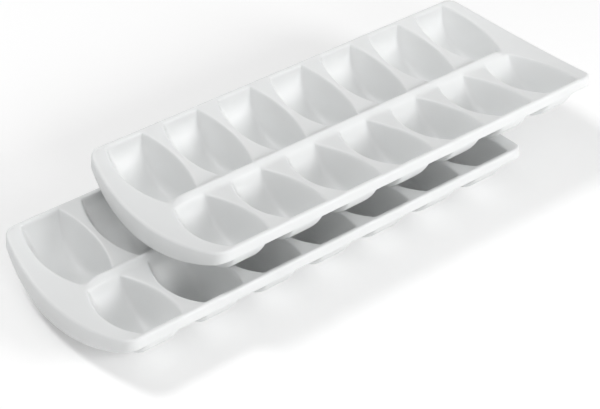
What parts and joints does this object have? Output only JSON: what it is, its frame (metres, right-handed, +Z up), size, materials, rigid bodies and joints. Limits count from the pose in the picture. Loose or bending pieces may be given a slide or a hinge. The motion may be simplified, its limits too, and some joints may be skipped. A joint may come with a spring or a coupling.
{
  "type": "twist ice cube tray pair",
  "caption": "Pair of twist ice cube trays, one stacked askew on the other, each a dished moulded plate with a downturned skirt and rows of half-moon pockets.",
  "frame": {"origin": "midway between the two trays in plan, on the surface that the lower tray stands on", "axes": "+Z up, +X along both trays towards the end where the upper one overhangs, +Y across the trays towards the side the upper one has slipped to"},
  "size_m": [0.3354, 0.1196, 0.0503],
  "materials": {
    "white_plastic": "satin moulded polypropylene"
  },
  "bodies": {
    "lower_tray": {"lower_tray": "white_plastic"},
    "upper_tray": {"upper_tray": "white_plastic"}
  },
  "joints": [
    {"name": "upper_tray_lift", "type": "slide", "parent": "lower_tray", "child": "upper_tray", "axis": [0, 0, 1], "range_m": [0, 0.06]}
  ]
}
